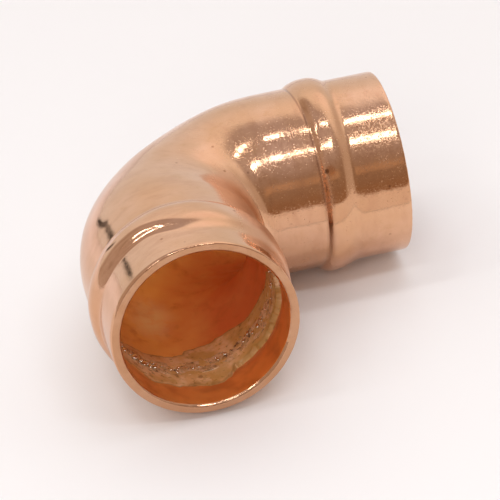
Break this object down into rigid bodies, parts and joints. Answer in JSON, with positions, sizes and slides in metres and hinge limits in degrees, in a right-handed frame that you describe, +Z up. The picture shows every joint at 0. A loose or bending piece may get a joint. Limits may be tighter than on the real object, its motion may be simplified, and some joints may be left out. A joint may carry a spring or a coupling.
{
  "type": "pipe elbow",
  "caption": "Copper capillary pipe elbow turning ninety degrees, with a plain round socket at each end and a raised bead holding a ring of solder.",
  "frame": {"origin": "below the middle of the object, level with the lowest points of its two beads; the two socket axes cross 13.15 mm above that level, at x = -10.125 mm and y = +10.125 mm", "axes": "the socket axes are level: -Y points out of the front socket along its axis, +X points out of the side socket along its axis, and +Z is up, square to the plane of both axes"},
  "size_m": [0.0466, 0.0466, 0.0263],
  "materials": {
    "copper": "bare polished copper outside, darker heat-oxidised orange-brown inside",
    "solder": "dull cast solder with tan flux residue"
  },
  "bodies": {
    "root": {"elbow_body": "copper", "solder_ring_front": "solder", "solder_ring_side": "solder"}
  },
  "joints": []
}
